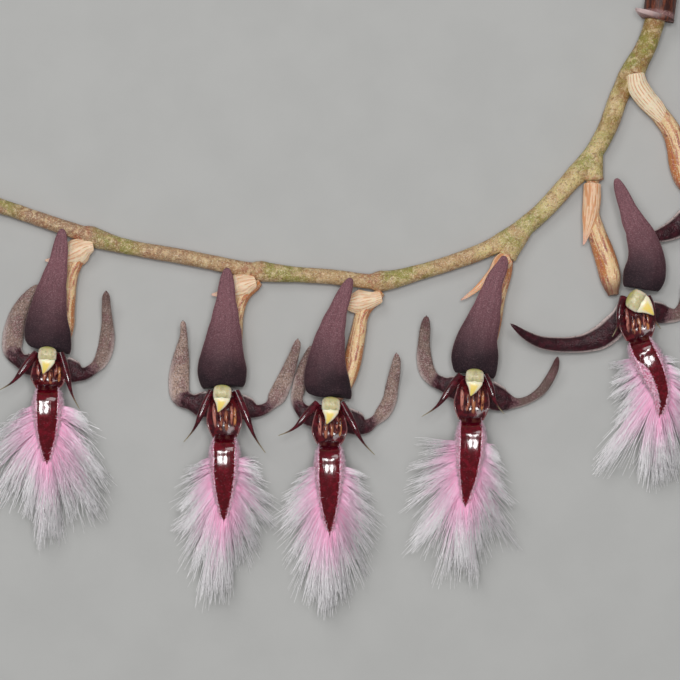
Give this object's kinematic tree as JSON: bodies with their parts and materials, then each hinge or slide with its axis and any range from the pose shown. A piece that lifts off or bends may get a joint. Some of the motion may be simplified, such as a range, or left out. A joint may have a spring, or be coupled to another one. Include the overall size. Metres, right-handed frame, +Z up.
{
  "type": "bulbophyllum orchid raceme",
  "caption": "Arching orchid raceme laid flat, its flowers facing up: horned sepals, needle petals, a yellow-tipped column and a crimson lip with a brush of pink and white hairs.",
  "frame": {"origin": "middle of the raceme's outline, on the surface that it lies on", "axes": "+X along the stem from its young end to its old end, +Y from the hanging lips towards the stem, +Z up, the way the flowers face"},
  "size_m": [0.0902, 0.0668, 0.0052],
  "materials": {
    "stem": "matt fleshy skin, mottled",
    "sheath": "dry papery, pale at the tip",
    "bract": "papery, translucent, finely ribbed",
    "pedicel": "satin, striped",
    "dorsal_sepal": "velvety, with fine papillae",
    "lateral_sepal": "velvety, covered in short hairs",
    "column": "glossy wet-looking",
    "anther_cap": "waxy satin",
    "lip": "glossy crimson body with a brush of pink to white hairs",
    "bud": "velvety"
  },
  "bodies": {
    "root": {"stem": "stem", "sheath": "sheath", "pedicel_1": "pedicel", "bract_1": "bract", "dorsal_sepal_1": "dorsal_sepal", "left_sepal_1": "lateral_sepal", "right_sepal_1": "lateral_sepal", "column_1": "column", "anther_cap_1": "anther_cap", "lip_1": "lip", "pedicel_2": "pedicel", "bract_2": "bract", "dorsal_sepal_2": "dorsal_sepal", "left_sepal_2": "lateral_sepal", "right_sepal_2": "lateral_sepal", "column_2": "column", "anther_cap_2": "anther_cap", "lip_2": "lip", "pedicel_3": "pedicel", "bract_3": "bract", "dorsal_sepal_3": "dorsal_sepal", "left_sepal_3": "lateral_sepal", "right_sepal_3": "lateral_sepal", "column_3": "column", "anther_cap_3": "anther_cap", "lip_3": "lip", "pedicel_4": "pedicel", "bract_4": "bract", "dorsal_sepal_4": "dorsal_sepal", "left_sepal_4": "lateral_sepal", "right_sepal_4": "lateral_sepal", "column_4": "column", "anther_cap_4": "anther_cap", "lip_4": "lip", "pedicel_5": "pedicel", "bract_5": "bract", "dorsal_sepal_5": "dorsal_sepal", "left_sepal_5": "lateral_sepal", "right_sepal_5": "lateral_sepal", "column_5": "column", "anther_cap_5": "anther_cap", "lip_5": "lip", "pedicel_6": "pedicel", "bract_6": "bract", "dorsal_sepal_6": "dorsal_sepal", "left_sepal_6": "lateral_sepal", "right_sepal_6": "lateral_sepal", "column_6": "column", "anther_cap_6": "anther_cap", "lip_6": "lip", "bud_pedicel_1": "pedicel", "bud_bract_1": "bract", "bud_1": "bud", "bud_pedicel_2": "pedicel", "bud_bract_2": "bract", "bud_2": "bud"}
  },
  "joints": []
}
